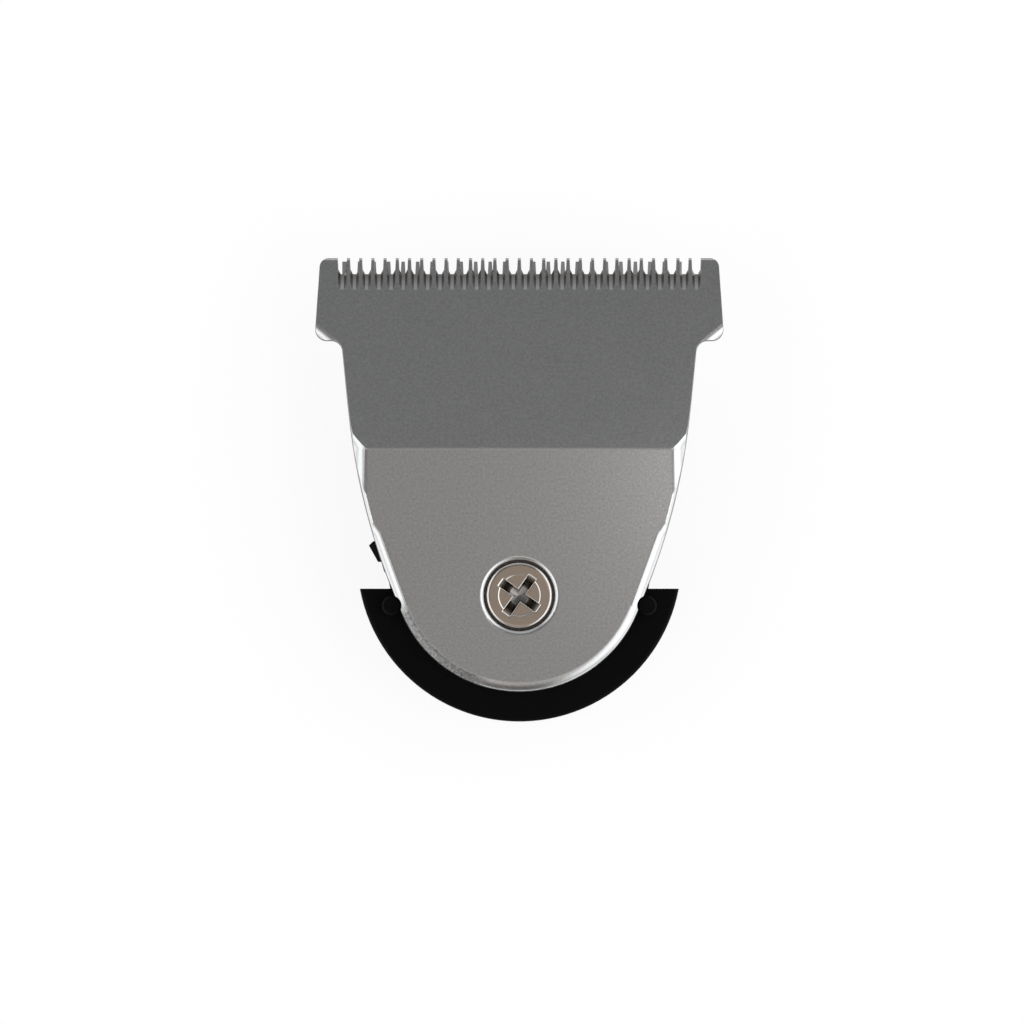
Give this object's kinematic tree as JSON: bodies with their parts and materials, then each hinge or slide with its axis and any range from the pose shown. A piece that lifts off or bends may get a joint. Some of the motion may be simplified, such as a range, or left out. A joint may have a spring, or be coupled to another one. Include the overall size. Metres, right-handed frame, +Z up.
{
  "type": "hair trimmer blade set",
  "caption": "Clip-on T-shaped trimmer blade set: ground steel comb plate over a sliding cutter, driven by a forked plastic slider in a black plastic carrier.",
  "frame": {"origin": "middle of the set's outline, on the surface that the carrier's back lies on", "axes": "+X across the blade, +Y towards the teeth, +Z up out of the steel face"},
  "size_m": [0.0334, 0.038, 0.0084],
  "materials": {
    "comb_steel": "fine satin ground",
    "cutter_steel": "ground",
    "nickel": "warm nickel plate",
    "spring_wire": "drawn wire",
    "carrier_plastic": "fine moulded",
    "slider_plastic": "fine moulded"
  },
  "bodies": {
    "carrier_body": {"blade_carrier": "carrier_plastic", "fixed_blade": "comb_steel", "blade_screw": "nickel", "tension_spring": "spring_wire"},
    "cutter_body": {"moving_cutter": "cutter_steel", "drive_slider": "slider_plastic"}
  },
  "joints": [
    {"name": "cutter_stroke", "type": "slide", "parent": "carrier_body", "child": "cutter_body", "axis": [1, 0, 0], "range_m": [-0.0005, 0.0017]}
  ]
}
